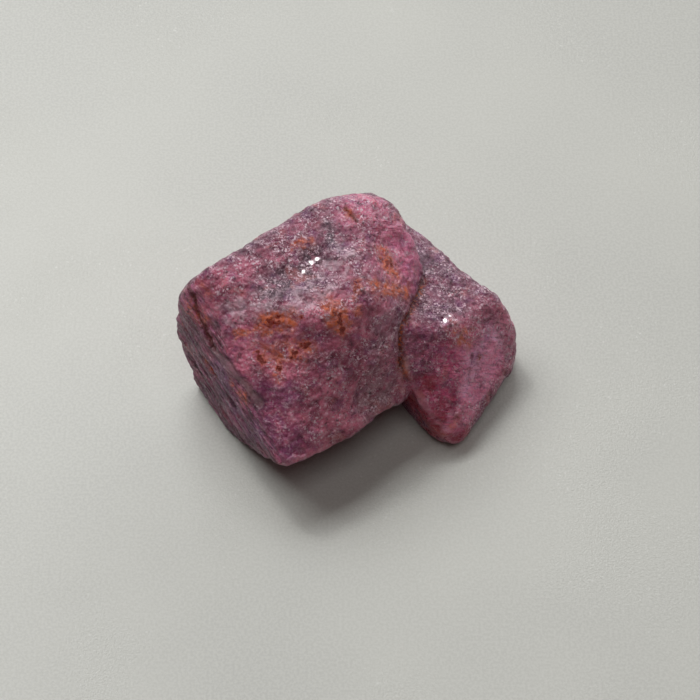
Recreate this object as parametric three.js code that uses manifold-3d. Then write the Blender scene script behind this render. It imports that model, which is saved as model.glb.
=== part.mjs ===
import * as THREE from "three";
import { mergeVertices } from "three/addons/utils/BufferGeometryUtils.js";
import Module from "manifold-3d";

// A raw ruby: a stout six-sided crystal lying on one of its long sides, with a
// smaller wedge-shaped crystal grown into its right end. Millimetres, +Z up,
// seen from the front (-Y) in the photograph.

const BASE_HEIGHT = 0;

// Each crystal is the space inside a set of flat faces. A face is given by the
// way that it looks (heading clockwise from the front, seen from above, and
// pitch above the horizon, in degrees) and by how far out from the crystal's
// centre it lies. Sharpness sets how crisp the worn edges between faces are,
// and detail how finely the surface is divided.
// Marks are hollows (rise below zero) and lumps along a line on the surface.
// Ledges are the edges of the thin growth layers that end in a broken face.
const MAIN = {
  centre: [-1.6, 0.1, 6.8],
  sharpness: 26,
  detail: 17,
  faces: {
    top: { heading: 37, pitch: 85, out: 6.6 },
    frontLeft: { heading: 25, pitch: 40, out: 6.0 },
    frontRight: { heading: 39, pitch: 32, out: 5.8 },
    leftShoulder: { heading: -22, pitch: 46, out: 6.9 },
    frontUnder: { heading: 31, pitch: -52, out: 6.3 },
    base: { heading: 0, pitch: -90, out: 7.2 },
    backUnder: { heading: 212, pitch: -19, out: 6.9 },
    back: { heading: 216, pitch: 13, out: 7.3 },
    leftEnd: { heading: -56, pitch: -1, out: 8.9 },
    leftBevel: { heading: -42, pitch: 24, out: 8.7 },
    rightEnd: { heading: 117, pitch: 2, out: 8.3 },
    rightShoulder: { heading: 73, pitch: 16, out: 6.35 },
    lobe: { heading: 80, pitch: 51, out: 6.7 },
    peak: { heading: 166, pitch: 45, out: 9.8 },
  },
  ledges: { faces: ["leftEnd", "rightEnd"], spacing: 1.8, height: 0.3 },
  marks: {
    basin: { from: [-6.4, 0.2, 13.6], to: [-2.8, 1.3, 13.5], radius: 1.7, rise: -0.5 },
    basinLip: { from: [-5.6, -2.1, 13.2], to: [-1.9, -0.5, 13.4], radius: 1.0, rise: 0.25 },
    hump: { from: [1.4, 6.2, 13.3], to: [2.2, 7.0, 12.6], radius: 2.2, rise: 0.45 },
    humpRim: { from: [2.0, 4.0, 13.2], to: [4.0, 4.6, 11.8], radius: 0.7, rise: -0.25 },
    cornerCrevice: { from: [-11.1, -0.6, 12.2], to: [-9.8, -3.3, 10.1], radius: 0.7, rise: -0.3 },
    frontBreak: { from: [-0.2, -5.4, 8.9], to: [2.7, -3.3, 9.0], radius: 0.7, rise: 0.2 },
    frontDish: { from: [0.8, -6.2, 7.4], to: [2.6, -5.0, 7.2], radius: 1.8, rise: -0.25 },
    rustPitLeft: { from: [-6.0, -4.6, 10.8], to: [-5.7, -4.9, 10.6], radius: 0.8, rise: -0.2 },
    rustPitRight: { from: [-3.0, -4.3, 11.5], to: [-2.7, -4.6, 11.3], radius: 0.8, rise: -0.2 },
    lowerHollow: { from: [-4.6, -7.4, 8.0], to: [-3.8, -8.0, 7.0], radius: 1.6, rise: -0.2 },
    backHollow: { from: [-5.8, 6.6, 8.5], to: [-3.6, 7.8, 7.5], radius: 1.9, rise: -0.4 },
    backLump: { from: [-1.0, 8.6, 5.0], to: [0.6, 9.6, 6.0], radius: 1.5, rise: 0.3 },
  },
};

const SIDE = {
  centre: [6.0, 0.9, 4.6],
  sharpness: 26,
  detail: 12,
  faces: {
    top: { heading: 105, pitch: 74, out: 4.1 },
    front: { heading: 22, pitch: 37, out: 4.2 },
    frontRight: { heading: 52, pitch: 31, out: 4.0 },
    skirt: { heading: 55, pitch: -9, out: 6.7 },
    leftUnder: { heading: -18, pitch: -12, out: 6.8 },
    right: { heading: 139, pitch: 5, out: 5.2 },
    rightTip: { heading: 91, pitch: 1, out: 6.7 },
    underRight: { heading: 63, pitch: -40, out: 7.0 },
    base: { heading: 0, pitch: -90, out: 4.8 },
    back: { heading: 213, pitch: 10, out: 8.6 },
    left: { heading: -54, pitch: -4, out: 3.8 },
  },
  ledges: { faces: ["skirt", "right"], spacing: 1.8, height: 0.2 },
  marks: {
    paleChip: { from: [4.1, -3.4, 7.4], to: [4.4, -3.8, 6.8], radius: 0.8, rise: 0.35 },
    topDish: { from: [6.4, 1.4, 8.8], to: [8.0, 1.8, 8.4], radius: 1.4, rise: -0.2 },
    lowerStep: { from: [8.0, -4.2, 4.2], to: [11.2, -1.8, 4.2], radius: 0.8, rise: -0.25 },
    tipLump: { from: [7.6, -5.8, 2.2], to: [8.2, -5.6, 1.6], radius: 1.0, rise: 0.2 },
    backDip: { from: [8.6, 6.2, 5.5], to: [9.8, 5.0, 4.5], radius: 1.5, rise: -0.3 },
  },
};

// Low waves that run over every face.
const WAVES = [
  { length: 4.3, height: 0.1 },
  { length: 1.9, height: 0.045 },
];

// The growth layers dip toward the front by this angle.
const LAYER_DIP = 18;

function direction({ heading, pitch }) {
  const h = THREE.MathUtils.degToRad(heading);
  const p = THREE.MathUtils.degToRad(pitch);
  return new THREE.Vector3(
    Math.sin(h) * Math.cos(p),
    -Math.cos(h) * Math.cos(p),
    Math.sin(p),
  );
}

// How far out the flat faces lie along a unit vector, and how much of that
// spot belongs to each face, 1 in the middle of a face and less at its edges.
function flatFaces(crystal, along) {
  const parts = {};
  let sum = 0;
  for (const [name, face] of Object.entries(crystal.faces)) {
    const slant = direction(face).dot(along) / face.out;
    parts[name] = slant > 0 ? slant ** crystal.sharpness : 0;
    sum += parts[name];
  }
  const share = (name) => parts[name] / sum;
  return { out: sum ** (-1 / crystal.sharpness), share };
}

function waveRise(point) {
  let rise = 0;
  for (const { length, height } of WAVES) {
    const k = (2 * Math.PI) / length;
    const bend = Math.sin(0.45 * k * point.z + 0.3 * k * point.x);
    const across = Math.sin(k * (point.x + 0.3 * point.z) + 1.6 * bend);
    const along = Math.cos(k * (0.9 * point.y - 0.4 * point.z) - 1.3 * bend);
    rise += height * (across + along) * 0.5;
  }
  return rise;
}

function markRise(marks, point) {
  let rise = 0;
  const nearest = new THREE.Vector3();
  for (const mark of Object.values(marks)) {
    const line = new THREE.Line3(
      new THREE.Vector3(...mark.from),
      new THREE.Vector3(...mark.to),
    );
    line.closestPointToPoint(point, true, nearest);
    const distance = nearest.distanceTo(point) / mark.radius;
    rise += mark.rise * Math.exp(-(distance ** 2));
  }
  return rise;
}

// Each layer starts flush and swells until it breaks off at the next one.
function ledgeRise(ledges, share, point) {
  const stack = direction({ heading: 34, pitch: 90 - LAYER_DIP });
  const level = stack.dot(point) / ledges.spacing;
  const within = level - Math.floor(level);
  const swell = within < 0.75 ? within / 0.75 : (1 - within) / 0.25;
  let onFaces = 0;
  for (const name of ledges.faces) onFaces += share(name);
  return ledges.height * (swell - 0.5) * onFaces;
}

function crystalGeometry(crystal) {
  const geometry = new THREE.IcosahedronGeometry(1, crystal.detail);
  const centre = new THREE.Vector3(...crystal.centre);
  const positions = geometry.getAttribute("position");
  const along = new THREE.Vector3();
  const point = new THREE.Vector3();
  for (let i = 0; i < positions.count; i++) {
    along.fromBufferAttribute(positions, i).normalize();
    const { out, share } = flatFaces(crystal, along);
    point.copy(centre).addScaledVector(along, out);
    const rise =
      waveRise(point) +
      markRise(crystal.marks, point) +
      ledgeRise(crystal.ledges, share, point);
    point.addScaledVector(along, rise);
    positions.setXYZ(i, point.x, point.y, point.z);
  }
  geometry.deleteAttribute("normal");
  geometry.deleteAttribute("uv");
  return mergeVertices(geometry, 1e-4);
}

const wasm = await Module();
wasm.setup();

function toSolid(geometry) {
  return new wasm.Manifold(
    new wasm.Mesh({
      numProp: 3,
      vertProperties: new Float32Array(geometry.getAttribute("position").array),
      triVerts: new Uint32Array(geometry.index.array),
    }),
  );
}

function toGeometry(solid) {
  const mesh = solid.getMesh();
  return new THREE.BufferGeometry()
    .setAttribute("position", new THREE.BufferAttribute(mesh.vertProperties, 3))
    .setIndex(new THREE.BufferAttribute(mesh.triVerts, 1));
}

// Everything below the rest plane is cut away, which leaves a flat base.
function floorBlock() {
  const size = 100;
  const block = new THREE.BoxGeometry(size, size, size);
  block.translate(0, 0, BASE_HEIGHT - size / 2);
  block.deleteAttribute("normal");
  block.deleteAttribute("uv");
  return mergeVertices(block, 1e-4);
}

function rubySolid() {
  const joined = toSolid(crystalGeometry(MAIN))
    .add(toSolid(crystalGeometry(SIDE)))
    .subtract(toSolid(floorBlock()));
  const { min, max } = joined.boundingBox();
  return joined.translate(-(min[0] + max[0]) / 2, -(min[1] + max[1]) / 2, 0);
}

const ruby = new THREE.Mesh(
  toGeometry(rubySolid()),
  new THREE.MeshStandardMaterial({ color: 0x8a4f66, roughness: 0.55, metalness: 0 }),
);
ruby.name = "ruby_crystal";

const part = new THREE.Group();
part.add(ruby);
export default part;
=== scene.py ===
import math

import bmesh
import bpy
import numpy as np
from mathutils import Matrix, Vector, noise
from mathutils.kdtree import KDTree


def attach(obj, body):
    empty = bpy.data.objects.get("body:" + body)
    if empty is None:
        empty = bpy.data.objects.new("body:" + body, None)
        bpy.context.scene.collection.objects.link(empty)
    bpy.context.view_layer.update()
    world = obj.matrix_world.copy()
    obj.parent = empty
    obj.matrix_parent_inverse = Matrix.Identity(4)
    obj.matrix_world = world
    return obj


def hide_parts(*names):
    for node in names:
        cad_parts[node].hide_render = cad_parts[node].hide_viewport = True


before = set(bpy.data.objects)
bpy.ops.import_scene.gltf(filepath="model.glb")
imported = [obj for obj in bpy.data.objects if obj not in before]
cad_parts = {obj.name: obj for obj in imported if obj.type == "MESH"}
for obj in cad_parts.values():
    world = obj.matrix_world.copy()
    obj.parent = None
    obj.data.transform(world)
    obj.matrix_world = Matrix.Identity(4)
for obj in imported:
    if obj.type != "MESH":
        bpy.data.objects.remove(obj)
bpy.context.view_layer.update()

# A raw ruby on a pale table. The skin of the stone is worked out in millimetres
# and put in the scene in metres.
MM = 0.001

# The grid of the skin in millimetres, the rounds of smoothing that follow, and
# the rounds that tell worn edges from hollows.
SKIN_VOXEL = 0.135
SKIN_SMOOTHING = 7
WEAR_SMOOTHING = 12

# The valley between the two crystals: how sharp it is in degrees, and how far
# apart in millimetres the points along it are.
VALLEY_ANGLE = 28
VALLEY_STEP = 0.2

# Each finer octave of noise is smaller by the step, and weaker by the step to
# the power of the fade.
OCTAVE_STEP = 2.1
OCTAVE_FADE = 0.9

# Ways that parts of the surface look: heading from the front towards the right,
# and pitch above the horizon, in degrees.
LEFT_END = (-56, 5)
SIDE_FRONT = (38, 34)
# Painted light: faces that look this way are given lighter colours than the top.
PAINTED_LIGHT_FRONT = (5, 35)

# Ways that fine lines run: the growth layers of the left end, and the scratches
# on the front of the smaller crystal.
LAYER_LINES = (34, -18)
SIDE_SCRATCHES = (0.853, 0.2, -0.482)

# Relief of the skin, in millimetres: how wide each kind is, and how high or deep.
BREAK_SIZE = 2.4
BREAK_RISE = 0.07
SMALL_BREAK_SIZE = 0.9
SMALL_BREAK_RISE = 0.045
LUMP_SIZE = 2.1
LUMP_RISE = 0.07
GRAIN_SIZE = 0.5
GRAIN_RISE = 0.05
PIT_SIZE = 1.5
PIT_DEPTH = 0.1
LAYER_BEND = 0.5
LAYER_RISE = 0.07
LAYER_DROP = 0.08
SCRATCH_RISE = 0.02
RIDGE_WIDTH = 0.4
RIDGE_RISE = 0.08
GROOVE_WIDTH = 0.16
GROOVE_DEPTH = 0.2

# How far the marks that follow a line reach from it, in millimetres.
STRIP_WIDTH = 0.42
STRIP_RIM_WIDTH = 0.12
FROST_RIM_WIDTH = 1.3
BEVEL_WIDTH = 1.1
RIDGE_MARK_WIDTH = 0.35
SEAM_STAIN_WIDTH = 0.3


def direction(heading, pitch):
    h, p = math.radians(heading), math.radians(pitch)
    return np.array([math.sin(h) * math.cos(p), -math.cos(h) * math.cos(p), math.sin(p)])


def smoothstep(low, high, value):
    t = np.clip((value - low) / (high - low), 0, 1)
    return t * t * (3 - 2 * t)


def noise_at(points, size, octaves=1, seed=0.0):
    """Cloudy values from about -1 to 1 whose lumps are about size across."""
    shift = Vector((seed * 7.3, seed * 3.1, seed * 5.7))
    if octaves == 1:
        return np.array([noise.noise(Vector(p) / size + shift) for p in points])
    return np.array([
        noise.fractal(Vector(p) / size + shift, OCTAVE_FADE, OCTAVE_STEP, octaves) for p in points
    ])


def uneven_shift(points, reach, size, first_seed, octaves=2):
    """Moves of up to about reach that make the rims of a mask uneven."""
    moves = [noise_at(points, size, octaves, first_seed + i) for i in range(3)]
    return reach * np.stack(moves, 1)


def streak_noise(points, along, size, length, seed=0.0):
    """Noise drawn out into streaks that run in the direction along."""
    along = along / np.linalg.norm(along)
    run = points @ along
    across = points - run[:, None] * along
    return noise_at(across / size + run[:, None] * along / length, 1.0, 1, seed)


def breaks_at(points, size, seed=0.0):
    """Flat little breaks about size across, each tilted its own way."""
    shift = Vector((seed * 3.7, seed * 8.3, seed * 4.9))
    scaled = points / size + np.array(shift)
    middles = np.array([noise.voronoi(Vector(p))[1][0] for p in scaled])
    tilts = np.sin(middles @ np.array([[31, 17, 47], [23, 59, 13], [41, 29, 37]]))
    return ((scaled - middles) * tilts).sum(1)


def pits_at(points, size, seed=0.0):
    """1 in the middle of scattered pits, falling to 0 at their rims."""
    shift = Vector((seed * 2.9, seed * 6.1, seed * 1.7))
    near = np.array([noise.voronoi(Vector(p) / size + shift)[0][0] for p in points])
    return smoothstep(0.3, 0.05, near)


# The stone's fine skin

def frame_mesh():
    """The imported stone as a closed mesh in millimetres."""
    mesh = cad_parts["ruby_crystal"].data.copy()
    mesh.transform(Matrix.Scale(1 / MM, 4))
    work = bmesh.new()
    work.from_mesh(mesh)
    bmesh.ops.remove_doubles(work, verts=work.verts, dist=1e-4)
    return mesh, work


def seam_points(work):
    """Points along the sharp valley where the two crystals meet."""
    valley = math.radians(VALLEY_ANGLE)
    points = []
    for edge in work.edges:
        if len(edge.link_faces) == 2 and edge.calc_face_angle_signed() < -valley:
            start, end = edge.verts[0].co, edge.verts[1].co
            steps = max(1, int(edge.calc_length() / VALLEY_STEP))
            points += [start.lerp(end, i / steps) for i in range(steps + 1)]
    return points


def remeshed(mesh, work):
    """The mesh again with an even, fine grid of faces."""
    work.to_mesh(mesh)
    work.free()
    piece = bpy.data.objects.new("remesh", mesh)
    bpy.context.scene.collection.objects.link(piece)
    modifier = piece.modifiers.new("even", "REMESH")
    modifier.mode = "VOXEL"
    modifier.voxel_size = SKIN_VOXEL
    graph = bpy.context.evaluated_depsgraph_get()
    fine = bpy.data.meshes.new_from_object(piece.evaluated_get(graph))
    bpy.data.objects.remove(piece)
    bpy.data.meshes.remove(mesh)
    fine.materials.clear()
    return fine


def read_points(mesh):
    flat = np.zeros(len(mesh.vertices) * 3)
    mesh.vertices.foreach_get("co", flat)
    return flat.reshape(-1, 3)


def write_points(mesh, points):
    mesh.vertices.foreach_set("co", points.ravel())
    mesh.update()


def read_normals(mesh):
    flat = np.zeros(len(mesh.vertices) * 3, np.float32)
    mesh.vertex_normals.foreach_get("vector", flat)
    return flat.reshape(-1, 3).astype(float)


def read_edges(mesh):
    flat = np.zeros(len(mesh.edges) * 2, np.int32)
    mesh.edges.foreach_get("vertices", flat)
    return flat.reshape(-1, 2)


def neighbour_mean(values, edges):
    """The mean place of each point's neighbours."""
    count = len(values)
    ends = np.concatenate([edges[:, 0], edges[:, 1]])
    others = np.concatenate([edges[:, 1], edges[:, 0]])
    number = np.bincount(ends, minlength=count)
    columns = [np.bincount(ends, values[others, i], count) for i in range(values.shape[1])]
    return np.stack(columns, 1) / number[:, None]


def smoothed(values, edges, rounds):
    for _ in range(rounds):
        values = 0.5 * values + 0.5 * neighbour_mean(values, edges)
    return values


def distance_to(points, targets):
    """How far each point is from the nearest of the targets."""
    tree = KDTree(len(targets))
    for i, target in enumerate(targets):
        tree.insert(target, i)
    tree.balance()
    return np.array([tree.find(p)[2] for p in points])


def distance_to_line(points, start, end):
    start, end = np.array(start), np.array(end)
    line = end - start
    along = np.clip((points - start) @ line / (line @ line), 0, 1)
    return np.linalg.norm(points - start - along[:, None] * line, axis=1)


def left_end_share(points, normals):
    """1 on the broken left end, where the growth layers show."""
    facing = smoothstep(0.72, 0.88, normals @ direction(*LEFT_END))
    return facing * smoothstep(-3.0, -5.0, points[:, 0])


def side_front_share(points, normals):
    """1 on the front of the smaller crystal."""
    facing = smoothstep(0.75, 0.92, normals @ direction(*SIDE_FRONT))
    return facing * smoothstep(4.0, 5.0, points[:, 0] + 0.35 * (points[:, 1] + 2.5))


def layer_rise(points):
    """The edges of the growth layers on the left end, which dip to the front."""
    along = direction(*LAYER_LINES)
    across = direction(LAYER_LINES[0], LAYER_LINES[1] + 90)
    bent = points + LAYER_BEND * noise_at(points, 3.0, 1, 2.0)[:, None] * across
    broad = 1 - 2 * np.abs(streak_noise(bent, along, size=0.75, length=5.0, seed=1.0))
    thin = 1 - 2 * np.abs(streak_noise(bent, along, size=0.34, length=2.6, seed=3.0))
    return LAYER_RISE * broad + LAYER_RISE * thin - LAYER_DROP


# Cracks, in millimetres.
CRACKS = {
    "corner": {
        "path": [(-11.1, 0.4, 12.3), (-11.1, -0.6, 12.0), (-10.9, -1.4, 11.2), (-10.4, -2.1, 10.5)],
        "width": 0.16,
        "depth": 0.22,
    },
    "corner_foot": {
        "path": [(-10.4, -2.1, 10.5), (-10.1, -2.8, 9.9), (-9.7, -3.5, 9.5)],
        "width": 0.2,
        "depth": 0.26,
    },
    "peak": {
        "path": [(-0.2, 5.9, 13.9), (0.3, 5.3, 13.9), (0.7, 4.8, 13.8)],
        "width": 0.13,
        "depth": 0.12,
    },
}

# The shallow chip low on the front, with a crisp rim.
DISH = {"centre": (2.3, -5.4, 6.5), "radius": 2.3, "rim": 0.35, "depth": 0.2}

# The sharp edge down the front of the smaller crystal, and the pale bevel right of it.
SIDE_RIDGE = [(4.2, -3.8, 6.7), (4.4, -3.9, 6.2), (5.2, -4.6, 4.9), (6.35, -5.7, 3.5), (7.6, -6.1, 2.4)]
SIDE_BEVEL = [(10.8, -0.8, 4.8), (10.5, -1.8, 3.6), (9.8, -3.1, 3.3), (8.8, -4.6, 2.9), (7.9, -5.6, 2.5)]


def distance_to_path(points, path):
    """How far each point is from a line through several places."""
    return np.min([distance_to_line(points, a, b) for a, b in zip(path, path[1:])], axis=0)


def crack_share(points):
    """How far each point is in a crack, from 0 to 1, and how deep the crack is there."""
    bent = points + uneven_shift(points, 0.16, 0.6, 51)
    share = np.zeros(len(points))
    depth = np.zeros(len(points))
    for crack in CRACKS.values():
        near = np.exp(-((distance_to_path(bent, crack["path"]) / crack["width"]) ** 2))
        share = np.maximum(share, near)
        depth = np.maximum(depth, near * crack["depth"])
    return share, depth


def dish_depth(points):
    bent = points + uneven_shift(points, 0.5, 1.6, 71)
    away = np.linalg.norm(bent - np.array(DISH["centre"]), axis=1)
    return DISH["depth"] * smoothstep(DISH["radius"], DISH["radius"] - DISH["rim"], away)


def skin_rise(points, normals, seam):
    """How far the surface stands out from the smooth stone, without the cracks."""
    lumps = noise_at(points, LUMP_SIZE, 3, 1.0)
    grain = noise_at(points, GRAIN_SIZE, 2, 4.0)
    pitted = smoothstep(-0.1, 0.3, noise_at(points, 2.6, 1, 8.0))
    pits = pits_at(points, PIT_SIZE, 2.0) * pitted
    end = left_end_share(points, normals)
    side = side_front_share(points, normals)
    scratches = streak_noise(points, np.array(SIDE_SCRATCHES), size=0.32, length=2.6, seed=5.0)
    groove = np.exp(-((seam / GROOVE_WIDTH) ** 2))
    ridge = np.exp(-((distance_to_path(points, SIDE_RIDGE) / RIDGE_WIDTH) ** 2))
    breaks = BREAK_RISE * breaks_at(points, BREAK_SIZE, 6.0)
    small_breaks = SMALL_BREAK_RISE * breaks_at(points, SMALL_BREAK_SIZE, 7.0)
    calm = 1 - 0.7 * end
    rise = calm * (breaks + small_breaks)
    rise -= dish_depth(points)
    rise += LUMP_RISE * lumps + GRAIN_RISE * grain - PIT_DEPTH * pits
    rise += end * layer_rise(points)
    rise += SCRATCH_RISE * side * scratches
    rise += RIDGE_RISE * ridge
    return rise - GROOVE_DEPTH * groove


# Colour zones, with painted shade and painted glow among them, and stains. Each is a mask kept on the
# stone's vertices.

# Zone: spots as (point, radius) in millimetres.
ZONES = {
    "rose": [
        ((1.6, 5.6, 13.3), 2.8),
        ((3.4, 2.6, 11.6), 2.6),
        ((11.2, 0.0, 5.0), 3.0),
        ((9.6, -1.6, 5.0), 2.4),
        ((9.0, -3.4, 3.8), 1.6),
    ],
    "lobe": [
        ((4.2, 4.8, 11.4), 1.7),
        ((4.9, 3.4, 10.4), 1.4),
        ((4.4, 1.9, 10.6), 1.2),
    ],
    "smoke": [
        ((2.9, -2.2, 9.6), 2.4),
        ((2.2, -5.2, 6.6), 2.6),
    ],
    # Painted shade: darker on the top of the smaller crystal next to the valley and below the lobe, and on
    # a spot of the larger crystal's top.
    "painted_shade": [
        ((-0.6, 3.6, 13.5), 2.2),
        ((7.0, 3.6, 8.5), 2.8),
        ((5.6, 5.6, 8.7), 1.8),
    ],
    # Pale pink, and painted glow: the right flank of the smaller crystal made bright as if lit through.
    "pink_and_painted_glow": [
        ((10.0, -1.6, 4.8), 2.3),
        ((10.9, -0.4, 5.2), 1.8),
        ((9.2, -3.2, 3.8), 1.7),
    ],
    # Painted shade: darker in the hollow basin on the top of the larger crystal.
    "basin": [
        ((-4.2, 0.4, 13.2), 2.4),
        ((-2.6, 1.4, 13.3), 1.8),
        ((-6.0, -0.6, 13.2), 1.8),
        ((-0.8, 3.9, 13.6), 1.5),
    ],
    "cherry": [
        ((8.0, -2.0, 6.2), 2.4),
        ((7.4, -4.2, 4.2), 2.2),
        ((10.6, -1.2, 4.4), 2.0),
    ],
    "crimson": [
        ((5.9, -3.9, 5.4), 1.5),
        ((6.5, -5.6, 2.2), 2.4),
        ((5.0, -4.2, 3.0), 2.2),
        ((7.4, -5.2, 2.2), 1.6),
        ((8.2, -5.9, 1.4), 1.6),
    ],
    "magenta": [
        ((-5.4, -7.4, 8.0), 2.6),
        ((-8.4, -2.8, 11.6), 1.6),
        ((-3.9, -9.4, 6.4), 2.2),
        ((6.2, -1.2, 8.4), 1.4),
        ((5.6, -2.2, 7.6), 1.8),
        ((6.6, -4.6, 4.8), 1.4),
        ((5.4, -3.4, 6.2), 1.6),
    ],
    "frosted": [
        ((0.6, -5.4, 8.8), 3.4),
        ((-2.4, -6.0, 9.4), 2.6),
        ((3.0, -3.0, 8.6), 2.2),
        ((-1.6, -8.0, 6.8), 1.8),
        ((9.6, 0.6, 7.6), 1.6),
        ((7.0, -1.4, 7.8), 2.6),
        ((5.4, -2.6, 7.2), 1.8),
    ],
    "chip": [
        ((2.1, -5.4, 6.6), 2.0),
    ],
    "pale": [
        ((4.2, -3.6, 7.2), 0.7),
    ],
    "slate": [
        ((-9.0, -4.6, 7.6), 1.9),
        ((-8.2, -5.6, 5.2), 2.2),
        ((-6.4, -7.9, 5.4), 1.6),
    ],
}

# The smooth, pale strip along the front edge of the left end.
PALE_STRIP = [(-9.7, -3.5, 9.4), (-9.0, -4.3, 9.4), (-8.0, -5.4, 9.1), (-7.1, -6.3, 8.6), (-6.3, -7.2, 8.0)]

# The worn, frosted rim between the top and the front.
FROST_RIM = [
    (-9.0, -2.2, 11.7), (-7.3, -1.8, 12.6), (-5.5, -1.9, 13.3), (-3.9, -1.9, 13.5), (-2.3, -1.2, 13.5),
    (-1.0, 0.7, 13.3), (-0.5, 2.0, 13.5),
]

# Rust-coloured haze: start, end, radius and strength.
RUST_HAZE = {
    "shoulder": ((-5.8, -3.2, 12.2), (-4.2, -3.1, 12.8), 0.8, 0.9),
    "shoulder_streak": ((-5.6, -3.0, 12.4), (-8.0, -3.3, 11.0), 0.4, 0.8),
    "front": ((-5.6, -4.8, 10.8), (-3.2, -4.6, 11.4), 1.3, 0.55),
    "front_foot": ((-5.0, -5.0, 10.8), (-4.9, -6.0, 9.9), 0.6, 0.7),
    "brow": ((-1.2, -2.2, 13.1), (-0.4, -3.2, 12.2), 0.9, 0.9),
    "ridge": ((0.9, -0.4, 13.1), (0.6, -2.0, 12.6), 0.7, 0.6),
    "lobe": ((2.6, 3.0, 12.2), (3.3, 1.8, 11.8), 0.9, 0.75),
    "lobe_foot": ((1.9, -0.2, 12.5), (4.3, 0.9, 10.4), 0.7, 0.8),
    "peak": ((0.0, 5.6, 13.9), (0.7, 4.8, 13.8), 0.45, 0.6),
    "corner": ((-11.4, -1.2, 11.2), (-10.3, -1.9, 11.0), 0.8, 0.6),
    "corner_top": ((-10.3, 0.2, 12.7), (-9.6, -0.6, 12.7), 0.6, 0.45),
    "top": ((-3.9, 2.9, 13.6), (-2.7, 3.1, 13.6), 0.5, 0.7),
    "end_strip": ((-8.2, -5.2, 8.2), (-7.3, -6.6, 7.6), 0.5, 0.8),
    "side_blush": ((8.0, -1.0, 7.9), (8.9, -1.0, 6.9), 0.9, 0.55),
    "side_bevel": ((8.6, -4.3, 3.2), (7.6, -5.9, 2.4), 0.6, 0.45),
    "chip": ((4.0, -3.6, 7.4), (4.3, -4.0, 6.8), 0.6, 0.5),
}

# Small spots of solid rust: start, end, radius and strength.
RUST_CORES = {
    "shoulder": ((-5.6, -3.1, 12.4), (-4.9, -2.9, 12.7), 0.32, 1.5),
    "shoulder_line": ((-6.0, -3.2, 12.1), (-8.0, -3.5, 10.9), 0.13, 0.75),
    "pink_dot": ((-3.3, -3.1, 13.1), (-3.2, -3.1, 13.1), 0.18, 1.2),
    "front_right": ((-3.0, -4.4, 11.7), (-2.9, -4.6, 11.5), 0.3, 1.3),
    "front_low": ((-3.9, -4.9, 11.2), (-3.5, -5.0, 11.1), 0.24, 1.3),
    "front_left": ((-6.4, -4.6, 10.6), (-6.1, -5.0, 10.2), 0.28, 1.3),
    "front_drip": ((-4.9, -4.9, 10.9), (-4.9, -5.8, 10.1), 0.2, 0.8),
    "brow": ((-1.2, -2.3, 13.1), (-0.9, -2.7, 12.8), 0.24, 1.1),
    "brow_low": ((-0.6, -2.7, 12.7), (-0.4, -3.5, 11.9), 0.26, 1.2),
    "ridge": ((0.7, -0.3, 13.2), (0.7, -0.7, 13.1), 0.26, 1.2),
    "ridge_foot": ((0.7, -2.0, 12.5), (0.6, -2.3, 12.3), 0.16, 1.0),
    "lobe": ((3.2, 2.7, 11.9), (2.8, 1.6, 12.0), 0.3, 1.4),
    "top": ((-3.5, 2.6, 13.6), (-3.1, 2.6, 13.6), 0.2, 1.0),
    "side": ((9.9, -1.3, 5.1), (9.8, -1.5, 5.0), 0.18, 1.0),
    "side_high": ((8.4, -0.7, 7.6), (8.5, -0.8, 7.5), 0.16, 0.8),
}

# Little cleaved facets as smooth as glass: place, radius and the way they face,
# and how much they ripple in millimetres.
FACETS = {
    "basin": ((-2.7, 1.6, 13.3), 0.42, (-74, 79.6)),
    "basin_step": ((-2.1, 1.8, 13.3), 0.3, (-76, 80)),
    "basin_low": ((-3.2, 0.8, 13.2), 0.34, (-76, 79)),
    "side": ((7.3, -0.3, 8.7), 0.36, (-76, 79)),
    "side_step": ((7.7, 0.1, 8.7), 0.24, (-76, 79.5)),
}
FACET_RIPPLE = 0.007


def zone_mask(points, spots):
    """The spots melted together, with an uneven rim."""
    bent = points + uneven_shift(points, 0.9, 1.8, 11)
    mask = np.zeros(len(points))
    for centre, radius in spots:
        away = np.linalg.norm(bent - np.array(centre), axis=1)
        mask = np.maximum(mask, smoothstep(1.25, 0.35, away / radius))
    return mask


def stain_mask(points, stains, size, reach):
    """The stains melted together, with rims that wander by reach."""
    bent = points + uneven_shift(points, reach, size, 21)
    mask = np.zeros(len(points))
    for start, end, radius, strength in stains.values():
        away = distance_to_line(bent, start, end)
        mask = np.maximum(mask, strength * np.exp(-((away / radius) ** 2)))
    return mask


def frosty_share(points, normals):
    """1 where the skin is dull and grainy, and down to -0.5 where it is glassy."""
    top = smoothstep(0.55, 0.95, normals[:, 2])
    right = 0.7 * smoothstep(4.5, 6.0, points[:, 0])
    grey = zone_mask(points, ZONES["smoke"] + ZONES["basin"] + ZONES["painted_shade"] + ZONES["frosted"])
    clear = zone_mask(points, ZONES["crimson"] + ZONES["cherry"] + ZONES["magenta"])
    glassy = zone_mask(points, ZONES["crimson"] + ZONES["pink_and_painted_glow"] + ZONES["lobe"])
    dull = np.maximum(np.maximum(top, right), grey)
    return dull * (1 - 0.5 * clear) - 0.5 * glassy


def line_mask(bent, path, width):
    """1 along a line through several places."""
    return smoothstep(width, 0.6 * width, distance_to_path(bent, path))


def strip_rim_mask(bent):
    """1 at the rim of the pale strip."""
    past_rim = distance_to_path(bent, PALE_STRIP) - STRIP_WIDTH
    return np.exp(-((past_rim / STRIP_RIM_WIDTH) ** 2))


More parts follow.
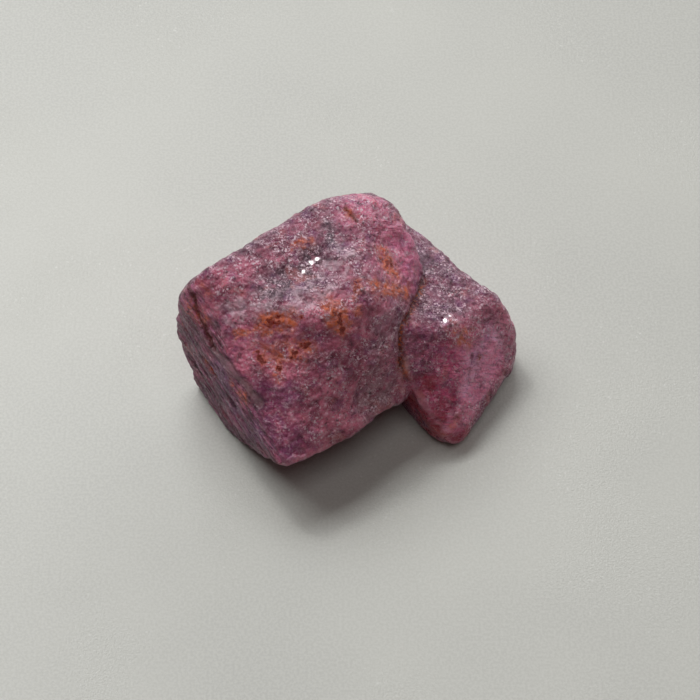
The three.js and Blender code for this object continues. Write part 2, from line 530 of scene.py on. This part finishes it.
def cleaved(points):
    """The points moved flat onto the facets, and how much each is on one."""
    shift = uneven_shift(points, 0.22, 0.4, 41, octaves=1)
    ripple = FACET_RIPPLE * noise_at(points, 0.5, 1, 44)
    share = np.zeros(len(points))
    for place, radius, facing in FACETS.values():
        nearest = np.argmin(np.linalg.norm(points - np.array(place), axis=1))
        bent = points + shift
        away = np.linalg.norm(bent - bent[nearest], axis=1)
        on_facet = smoothstep(1.15, 0.85, away / radius)
        face = direction(*facing)
        level = np.average(points @ face, weights=on_facet)
        offset = level - points @ face + ripple
        points = points + (on_facet * offset)[:, None] * face
        share = np.maximum(share, on_facet)
    return points, share


def keep_mask(mesh, name, values):
    layer = mesh.attributes.new(name, "FLOAT", "POINT")
    layer.data.foreach_set("value", np.asarray(values, np.float32))


def shaped_skin(points, normals, seam, crack_depth):
    """The smooth stone's points moved out to the skin, and how polished each is."""
    above_table = smoothstep(0.02, 0.5, points[:, 2])
    rise = (skin_rise(points, normals, seam) - crack_depth) * above_table
    skin, polish = cleaved(points + rise[:, None] * normals)
    skin[:, 2] = np.maximum(skin[:, 2], 0)
    return skin, polish


def keep_spot_masks(mesh, points, seam):
    """The colour zones with their painted shade and glow, the rust, and the brown line on the upper front
    of the seam.
    """
    for name, spots in ZONES.items():
        keep_mask(mesh, name, zone_mask(points, spots))
    keep_mask(mesh, "haze", stain_mask(points, RUST_HAZE, size=1.0, reach=0.4))
    keep_mask(mesh, "rust", stain_mask(points, RUST_CORES, size=0.35, reach=0.3))
    upper_front = smoothstep(5.5, 7.0, points[:, 2]) * smoothstep(3.4, 2.6, points[:, 1])
    keep_mask(mesh, "seam", np.exp(-((seam / SEAM_STAIN_WIDTH) ** 2)) * upper_front)


def keep_line_masks(mesh, points):
    bent = points + uneven_shift(points, 0.25, 1.2, 61)
    keep_mask(mesh, "strip", line_mask(bent, PALE_STRIP, STRIP_WIDTH))
    keep_mask(mesh, "strip_rim", strip_rim_mask(bent))
    keep_mask(mesh, "frost_rim", line_mask(bent, FROST_RIM, FROST_RIM_WIDTH))
    keep_mask(mesh, "bevel", line_mask(bent, SIDE_BEVEL, BEVEL_WIDTH))
    keep_mask(mesh, "ridge", line_mask(bent, SIDE_RIDGE, RIDGE_MARK_WIDTH))


def keep_side_masks(mesh, points, normals):
    keep_mask(mesh, "frosty", frosty_share(points, normals))
    # Painted light: the faces that are painted lighter than the top.
    keep_mask(mesh, "front", smoothstep(0.4, 0.85, normals @ direction(*PAINTED_LIGHT_FRONT)))
    keep_mask(mesh, "layers", left_end_share(points, normals))
    keep_mask(mesh, "side", side_front_share(points, normals))


def make_stone():
    rough, work = frame_mesh()
    valley = seam_points(work)
    mesh = remeshed(rough, work)
    edges = read_edges(mesh)
    points = smoothed(read_points(mesh), edges, SKIN_SMOOTHING)
    write_points(mesh, points)
    normals = read_normals(mesh)
    seam = distance_to(points, valley)
    crack, crack_depth = crack_share(points)
    skin, polish = shaped_skin(points, normals, seam, crack_depth)
    stood_out = ((skin - smoothed(skin, edges, WEAR_SMOOTHING)) * normals).sum(1)

    keep_spot_masks(mesh, points, seam)
    keep_line_masks(mesh, points)
    keep_side_masks(mesh, points, normals)
    keep_mask(mesh, "crack", crack)
    keep_mask(mesh, "polish", polish)
    keep_mask(mesh, "worn", smoothstep(0.0, 0.12, stood_out))
    keep_mask(mesh, "hollow", smoothstep(0.0, 0.12, -stood_out))

    write_points(mesh, skin * MM)
    mesh.shade_smooth()
    mesh.name = "ruby_skin"
    stone = bpy.data.objects.new("ruby_skin", mesh)
    bpy.context.scene.collection.objects.link(stone)
    return stone


# Materials

class Nodes:
    """Short calls that add and join the nodes of one material."""

    def __init__(self, name):
        self.material = bpy.data.materials.new(name)
        self.material.use_nodes = True
        self.tree = self.material.node_tree
        self.tree.nodes.clear()

    def add(self, kind, settings=None, **inputs):
        node = self.tree.nodes.new(kind)
        for key, value in (settings or {}).items():
            setattr(node, key, value)
        for key, value in inputs.items():
            socket = node.inputs[key.replace("_", " ")]
            if isinstance(value, bpy.types.NodeSocket):
                self.tree.links.new(value, socket)
            else:
                socket.default_value = value
        return node

    def mask(self, name):
        return self.add("ShaderNodeAttribute", {"attribute_name": name}).outputs["Fac"]

    def place(self):
        """Millimetres in the object's own frame."""
        where = self.add("ShaderNodeTexCoord").outputs["Object"]
        scaled = self.add("ShaderNodeVectorMath", {"operation": "SCALE"}, Vector=where)
        scaled.inputs["Scale"].default_value = 1 / MM
        return scaled.outputs["Vector"]

    def math(self, operation, a, b=0.0):
        node = self.tree.nodes.new("ShaderNodeMath")
        node.operation = operation
        for socket, value in zip(node.inputs, (a, b)):
            if isinstance(value, bpy.types.NodeSocket):
                self.tree.links.new(value, socket)
            else:
                socket.default_value = value
        return node.outputs[0]

    def plus(self, a, b):
        return self.math("ADD", a, b)

    def minus(self, a, b):
        return self.math("SUBTRACT", a, b)

    def times(self, a, b):
        return self.math("MULTIPLY", a, b)

    def cloud(self, where, size, detail=3.0, distortion=0.0, rough=0.5):
        node = self.add("ShaderNodeTexNoise", Vector=where, Scale=1 / size,
                        Detail=detail, Distortion=distortion, Roughness=rough)
        return node.outputs["Fac"]

    def streaks(self, where, along, size, length):
        """Noise drawn out into streaks that run in the direction along."""
        run = self.add("ShaderNodeVectorMath", {"operation": "DOT_PRODUCT"}, Vector=where)
        run.inputs[1].default_value = along
        kept = self.times(run.outputs["Value"], 1 - size / length)
        back = self.add("ShaderNodeVectorMath", {"operation": "SCALE"})
        back.inputs[0].default_value = along
        self.tree.links.new(kept, back.inputs["Scale"])
        drawn = self.add("ShaderNodeVectorMath", {"operation": "SUBTRACT"})
        self.tree.links.new(where, drawn.inputs[0])
        self.tree.links.new(back.outputs["Vector"], drawn.inputs[1])
        return self.cloud(drawn.outputs["Vector"], size, detail=4.0, distortion=0.8)

    def cells(self, where, size):
        """A random value for each of many small grains."""
        node = self.add("ShaderNodeTexVoronoi", Vector=where, Scale=1 / size)
        return self.add("ShaderNodeSeparateColor", Color=node.outputs["Color"]).outputs[0]

    def domes(self, where, size):
        """Height of close-packed rounded grains."""
        node = self.add("ShaderNodeTexVoronoi", Vector=where, Scale=1 / size)
        return self.minus(1.0, node.outputs["Distance"])

    def ramp(self, value, low, high):
        """0 at low, 1 at high and a smooth change between, either way round."""
        node = self.add("ShaderNodeMapRange", {"interpolation_type": "SMOOTHSTEP"}, Value=value,
                        From_Min=low, From_Max=high)
        return node.outputs["Result"]

    def mix(self, amount, a, b):
        node = self.tree.nodes.new("ShaderNodeMix")
        node.data_type = "RGBA"
        for index, value in ((0, amount), (6, a), (7, b)):
            if isinstance(value, bpy.types.NodeSocket):
                self.tree.links.new(value, node.inputs[index])
            else:
                node.inputs[index].default_value = value
        return node.outputs[2]

    def paint(self, colour, tint, mask, strength):
        """The colour with the tint laid over it where the mask is."""
        return self.mix(self.times(mask, strength), colour, tint)

    def finish(self, shader):
        self.add("ShaderNodeOutputMaterial", Surface=shader)
        return self.material


def srgb(red, green, blue):
    """A colour from 0-255 screen values."""
    def linear(c):
        c /= 255
        return c / 12.92 if c <= 0.04045 else ((c + 0.055) / 1.055) ** 2.4
    return (linear(red), linear(green), linear(blue), 1.0)


PLUM = srgb(90, 36, 64)
MAUVE = srgb(140, 78, 104)
# Painted light: the front faces get these lighter colours, and the top gets PLUM and MAUVE.
PAINTED_LIGHT_BERRY_DARK = srgb(150, 58, 90)
PAINTED_LIGHT_BERRY = srgb(218, 112, 142)
ROSE = srgb(236, 134, 168)
SMOKE = srgb(158, 104, 126)
CRIMSON = srgb(166, 20, 60)
MAGENTA = srgb(123, 35, 93)
SLATE = srgb(146, 92, 136)
CHERRY = srgb(232, 82, 140)
# The colour of the painted shade in the basin.
PAINTED_SHADE_BASIN = srgb(54, 34, 52)
VIOLET = srgb(128, 56, 120)
SCRATCH_DARK = srgb(112, 22, 62)
# The colour of the painted shade beside the valley.
PAINTED_SHADE = srgb(110, 72, 96)
# Pale pink, bright enough to be a painted glow.
PINK_AND_PAINTED_GLOW = srgb(255, 183, 224)
LOBE = srgb(222, 108, 154)
PEACH = srgb(212, 120, 118)
CHIP = srgb(176, 124, 136)
BEVEL = srgb(252, 146, 186)
PALE = srgb(220, 172, 176)
LAYER_EDGE = srgb(216, 124, 172)
STRIP = srgb(136, 106, 114)
FROST = srgb(232, 200, 214)
PIT = srgb(62, 20, 44)
RUST_PALE = srgb(204, 108, 90)
RUST_GOLD = srgb(228, 106, 46)
RUST_DARK = srgb(128, 20, 8)
SEAM_STAIN = srgb(104, 34, 16)
TABLE_DARK = srgb(189, 190, 185)
TABLE_LIGHT = srgb(196, 197, 191)
TABLE_GRAIN = srgb(208, 209, 204)
# The colour of the painted sparkle on the table.
TABLE_PAINTED_SPARKLE = srgb(236, 236, 234)

# Each zone's tint and how strong it is, in the order that they are laid on.
ZONE_TINTS = {
    "smoke": (SMOKE, 0.75),
    # Painted shade beside the valley.
    "painted_shade": (PAINTED_SHADE, 0.7),
    # Painted shade in the basin.
    "basin": (PAINTED_SHADE_BASIN, 0.85),
    "rose": (ROSE, 0.8),
    "lobe": (LOBE, 0.8),
    "magenta": (MAGENTA, 0.75),
    "cherry": (CHERRY, 0.85),
    # Pale pink and painted glow on the smaller crystal's right flank.
    "pink_and_painted_glow": (PINK_AND_PAINTED_GLOW, 0.75),
    "crimson": (CRIMSON, 1.0),
    "slate": (SLATE, 0.8),
    "chip": (CHIP, 0.7),
    "pale": (PALE, 0.95),
}

# How the surfaces take the light. Heights and depths are in metres, and the
# spread of the glow is for red, green and blue.
RUBY_IOR = 1.6
GLASSY_ROUGHNESS = 0.06
RELIEF_HEIGHT = 0.24 * MM
GLOW_DEPTH = 1.2 * MM
GLOW_SPREAD = (1.0, 0.35, 0.45)
TABLE_ROUGHNESS = 0.42
TABLE_RELIEF_HEIGHT = 0.06 * MM


def zoned_colour(n, where):
    """The broad colours, which run into each other unevenly, with the front faces painted lighter than the
    top as painted light.
    """
    patches = n.ramp(n.cloud(where, size=1.9, detail=5.0, distortion=0.6), 0.36, 0.64)
    top = n.mix(patches, PLUM, MAUVE)
    front = n.mix(patches, PAINTED_LIGHT_BERRY_DARK, PAINTED_LIGHT_BERRY)
    # Painted light: the front faces lighter than the top.
    colour = n.mix(n.mask("front"), top, front)
    for name, (tint, strength) in ZONE_TINTS.items():
        uneven = n.ramp(n.cloud(where, size=0.7, detail=4.0), 0.25, 0.55)
        colour = n.paint(colour, tint, n.times(n.mask(name), uneven), strength)
    violet = n.ramp(n.cloud(where, size=1.1, detail=4.0), 0.52, 0.68)
    colour = n.paint(colour, VIOLET, violet, 0.42)
    peach = n.ramp(n.cloud(where, size=1.4, detail=4.0, distortion=0.4), 0.56, 0.7)
    return n.paint(colour, PEACH, peach, 0.45)


def worn_colour(n, where, colour):
    """The bevel, the ridge, the frosted rim, and edges and hollows anywhere."""
    colour = n.paint(colour, BEVEL, n.mask("bevel"), 0.7)
    colour = n.paint(colour, FROST, n.mask("ridge"), 0.1)
    patchy = n.ramp(n.cloud(where, size=0.8, detail=6.0, distortion=0.3, rough=0.6), 0.4, 0.62)
    colour = n.paint(colour, FROST, n.times(n.mask("frost_rim"), patchy), 0.55)
    colour = n.paint(colour, FROST, n.mask("worn"), 0.3)
    return n.paint(colour, PIT, n.mask("hollow"), 0.4)


def thin_lines(n, where, size, width):
    """A web of thin lines, where noise passes through its middle value."""
    cloud = n.cloud(where, size, detail=2.0, distortion=0.6)
    from_middle = n.math("ABSOLUTE", n.minus(cloud, 0.5))
    return n.ramp(from_middle, width, 0.0)


def grained(n, where, colour):
    """The sugary grain that covers the stone, thickest where it is worn dull, with white specks that are
    partly painted glints.
    """
    frosty = n.mask("frosty")
    mottled = n.cloud(where, size=0.46, detail=7.0, distortion=0.15, rough=0.7)
    dark = n.times(n.ramp(mottled, 0.5, 0.3), n.plus(n.times(frosty, 0.35), 0.55))
    colour = n.mix(dark, colour, PIT)
    light = n.times(n.ramp(mottled, 0.52, 0.74), n.plus(n.times(frosty, 0.25), 0.5))
    colour = n.mix(light, colour, FROST)
    patches = n.ramp(n.cloud(where, size=0.9, detail=3.0), 0.35, 0.6)
    patchy = n.times(patches, n.plus(frosty, 0.4))
    web = thin_lines(n, where, size=0.3, width=0.04)
    colour = n.paint(colour, FROST, n.times(web, patchy), 0.6)
    # White specks, partly pale grains and partly painted glints.
    specks_and_painted_glints = n.ramp(n.cells(where, size=0.13), 0.89, 0.94)
    return n.paint(colour, FROST, n.times(specks_and_painted_glints, patchy), 0.9)


def layered(n, where, colour):
    """Light edges and dark gaps of the growth layers, and the strip beside them."""
    along = tuple(direction(*LAYER_LINES))
    gaps = n.ramp(n.streaks(where, along, size=0.26, length=1.6), 0.5, 0.38)
    colour = n.paint(colour, PIT, n.times(gaps, n.mask("layers")), 0.75)
    edges = n.ramp(n.streaks(where, along, size=0.2, length=1.4), 0.54, 0.66)
    colour = n.paint(colour, LAYER_EDGE, n.times(edges, n.mask("layers")), 0.6)
    colour = n.paint(colour, PIT, n.mask("strip_rim"), 0.6)
    uneven = n.ramp(n.cloud(where, size=0.9, detail=5.0), 0.1, 0.4)
    return n.paint(colour, STRIP, n.times(n.mask("strip"), uneven), 0.75)


def scratched(n, where, colour):
    """Short dark and light streaks across the front of the smaller crystal."""
    streaks = n.streaks(where, SIDE_SCRATCHES, size=0.3, length=1.1)
    dark = n.times(n.ramp(streaks, 0.52, 0.3), n.mask("side"))
    colour = n.paint(colour, SCRATCH_DARK, dark, 0.55)
    light = n.times(n.ramp(streaks, 0.54, 0.72), n.mask("side"))
    return n.paint(colour, BEVEL, light, 0.4)


def hazed(n, where, colour):
    """A thin, pale haze of rust."""
    uneven = n.ramp(n.cloud(where, size=0.5, detail=4.0), 0.2, 0.62)
    haze = n.ramp(n.times(n.mask("haze"), uneven), 0.0, 0.7)
    return n.paint(colour, RUST_PALE, haze, 0.85)


def rusted(n, where, colour):
    """Gold and dark red rust that lies in the grain, over the haze."""
    grain = n.cloud(where, size=0.5, detail=7.0, distortion=0.3, rough=0.68)
    gold = n.times(n.ramp(n.mask("haze"), 0.15, 0.8), n.ramp(grain, 0.5, 0.6))
    colour = n.paint(colour, RUST_GOLD, gold, 0.8)
    specks = n.times(n.ramp(n.mask("haze"), 0.3, 0.9), n.ramp(grain, 0.42, 0.3))
    colour = n.paint(colour, RUST_DARK, specks, 0.7)
    broken = n.ramp(n.cloud(where, size=0.45, detail=7.0, distortion=0.3, rough=0.7), 0.34, 0.6)
    cores = n.times(n.mask("rust"), broken)
    colour = n.paint(colour, RUST_GOLD, n.ramp(cores, 0.1, 0.5), 0.6)
    return n.paint(colour, RUST_DARK, n.ramp(cores, 0.28, 0.6), 0.95)


def seamed(n, where, colour):
    """The brown and gold line between the crystals, and the brown cracks."""
    brown = n.ramp(n.cloud(where, size=0.4, detail=3.0), 0.3, 0.5)
    colour = n.paint(colour, SEAM_STAIN, n.times(n.mask("seam"), brown), 0.9)
    gold = n.ramp(n.cloud(where, size=0.22, detail=2.0), 0.5, 0.62)
    colour = n.paint(colour, RUST_GOLD, n.times(n.mask("seam"), gold), 0.8)
    return n.paint(colour, SEAM_STAIN, n.mask("crack"), 0.95)


def ruby_colour(n, where):
    colour = zoned_colour(n, where)
    colour = worn_colour(n, where, colour)
    colour = hazed(n, where, colour)
    colour = scratched(n, where, colour)
    colour = grained(n, where, colour)
    colour = layered(n, where, colour)
    colour = rusted(n, where, colour)
    return seamed(n, where, colour)


def fine_relief(n, where):
    """Height of the grain, the layer edges and the scratches, for the bump."""
    cloudy = n.cloud(where, size=0.5, detail=6.0, distortion=0.3, rough=0.7)
    grain = n.plus(cloudy, n.times(n.domes(where, size=0.3), 0.4))
    height = n.times(grain, n.plus(n.times(n.mask("frosty"), 0.6), 0.7))
    edges = n.streaks(where, tuple(direction(*LAYER_LINES)), size=0.18, length=2.0)
    height = n.plus(height, n.times(n.times(edges, n.mask("layers")), 1.5))
    scratches = n.streaks(where, SIDE_SCRATCHES, size=0.15, length=1.6)
    height = n.plus(height, n.times(n.times(scratches, n.mask("side")), 0.7))
    return n.times(height, n.minus(1.0, n.times(n.mask("strip"), 0.7)))


def ruby_roughness(n, where, unpolished):
    """Uneven, with small shiny grains, and like glass on the cleaved facets."""
    matte = n.ramp(n.cloud(where, size=0.5, detail=3.0), 0.3, 0.7)
    shiny = n.ramp(n.cells(where, size=0.16), 0.88, 0.94)
    roughness = n.plus(n.times(matte, 0.25), 0.24)
    roughness = n.minus(roughness, n.times(shiny, 0.2))
    return n.math("MAXIMUM", n.times(roughness, unpolished), GLASSY_ROUGHNESS)


def ruby_material():
    n = Nodes("raw_ruby")
    where = n.place()
    unpolished = n.minus(1.0, n.mask("polish"))
    bump = n.add("ShaderNodeBump", Height=fine_relief(n, where), Strength=unpolished,
                 Distance=RELIEF_HEIGHT)
    clear = n.math("MAXIMUM", n.mask("rose"), n.mask("crimson"))
    glow = n.plus(n.times(clear, 0.35), 0.2)
    shader = n.add("ShaderNodeBsdfPrincipled", Base_Color=ruby_colour(n, where),
                   Roughness=ruby_roughness(n, where, unpolished), Normal=bump.outputs["Normal"],
                   IOR=RUBY_IOR, Subsurface_Weight=glow, Subsurface_Radius=GLOW_SPREAD,
                   Subsurface_Scale=GLOW_DEPTH)
    return n.finish(shader.outputs["BSDF"])


def table_material():
    """Pale, with a fine even grain and a faint painted sparkle in patches."""
    n = Nodes("pale_table")
    where = n.place()
    tone = n.ramp(n.cloud(where, size=25.0, detail=3.0), 0.35, 0.65)
    colour = n.mix(tone, TABLE_DARK, TABLE_LIGHT)
    fine = n.ramp(n.cloud(where, size=0.2, detail=2.0), 0.35, 0.65)
    colour = n.paint(colour, TABLE_GRAIN, fine, 0.5)
    grainy = n.ramp(n.cloud(where, size=14.0, detail=2.0), 0.4, 0.65)
    # Painted sparkle: bright dots in patches.
    painted_sparkle = n.times(n.ramp(n.cells(where, size=0.13), 0.985, 0.995), grainy)
    colour = n.paint(colour, TABLE_PAINTED_SPARKLE, painted_sparkle, 0.3)
    grain = n.cloud(where, size=0.14, detail=2.0)
    height = n.times(grain, n.plus(n.times(grainy, 0.8), 0.2))
    bump = n.add("ShaderNodeBump", Height=height, Strength=0.5, Distance=TABLE_RELIEF_HEIGHT)
    shader = n.add("ShaderNodeBsdfPrincipled", Base_Color=colour, Roughness=TABLE_ROUGHNESS,
                   Normal=bump.outputs["Normal"])
    return n.finish(shader.outputs["BSDF"])


# The setting

# The table's width and the height that the lights are aimed at, in metres.
TABLE_SIZE = 1.2
LIT_HEIGHT = 6 * MM

# Panels of light around the stone, in degrees, metres and watts.
LIGHTS = {
    "window": {
        "heading": 215, "pitch": 54, "distance": 0.8,
        "size": (0.71, 0.46), "power": 4.5, "tint": (0.98, 1.0, 0.99),
    },
    "lamp": {
        "heading": 213, "pitch": 56, "distance": 0.78,
        "size": (0.09, 0.09), "power": 0.8, "tint": (1.0, 0.99, 0.97),
    },
    "far_wall": {
        "heading": 155, "pitch": 16, "distance": 0.8,
        "size": (1.2, 0.2), "power": 3.6, "tint": (1.0, 1.0, 1.0),
    },
    "ceiling": {
        "heading": 20, "pitch": 76, "distance": 0.8,
        "size": (0.44, 0.36), "power": 0.9, "tint": (1.0, 0.99, 0.98),
    },
}

# The weak, warm light that comes from everywhere.
ROOM_TINT = (1.0, 0.66, 0.6, 1.0)
ROOM_BRIGHTNESS = 0.055

# The photo looks down at the stone from this height, from close by.
CAMERA_PITCH = 58
CAMERA_DISTANCE = 180 * MM
CAMERA_TARGET = Vector((0.2, -1.39, 6.0)) * MM
CAMERA_LENS = 125


def make_table():
    bpy.ops.mesh.primitive_plane_add(size=TABLE_SIZE, location=(0, 0, 0))
    table = bpy.context.object
    table.name = "table"
    table.data.materials.append(table_material())
    return table


def aim(obj, target):
    away = obj.location - target
    obj.rotation_euler = away.to_track_quat("Z", "Y").to_euler()


def soft_light(name, heading, pitch, distance, size, power, tint):
    """A panel of light, with its size as width and height, in metres."""
    light = bpy.data.lights.new(name, "AREA")
    light.shape = "RECTANGLE"
    light.size, light.size_y = size
    light.energy = power
    light.color = tint
    lamp = bpy.data.objects.new(name, light)
    lamp.location = Vector(direction(heading, pitch)) * distance
    bpy.context.scene.collection.objects.link(lamp)
    aim(lamp, Vector((0, 0, LIT_HEIGHT)))


def make_lights():
    for name, facts in LIGHTS.items():
        soft_light(name, **facts)
    world = bpy.data.worlds.new("room")
    bpy.context.scene.world = world
    world.use_nodes = True
    sky = world.node_tree.nodes["Background"]
    sky.inputs["Color"].default_value = ROOM_TINT
    sky.inputs["Strength"].default_value = ROOM_BRIGHTNESS


def make_camera():
    data = bpy.data.cameras.new("camera")
    data.lens = CAMERA_LENS
    data.sensor_width = 36
    data.clip_start = 0.01
    camera = bpy.data.objects.new("camera", data)
    camera.location = CAMERA_TARGET + Vector(direction(0, CAMERA_PITCH)) * CAMERA_DISTANCE
    bpy.context.scene.collection.objects.link(camera)
    aim(camera, CAMERA_TARGET)
    bpy.context.scene.camera = camera


stone = make_stone()
stone.data.materials.append(ruby_material())
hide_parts("ruby_crystal")
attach(stone, "root")
make_table()
make_lights()
make_camera()
bpy.context.scene.view_settings.view_transform = "Standard"
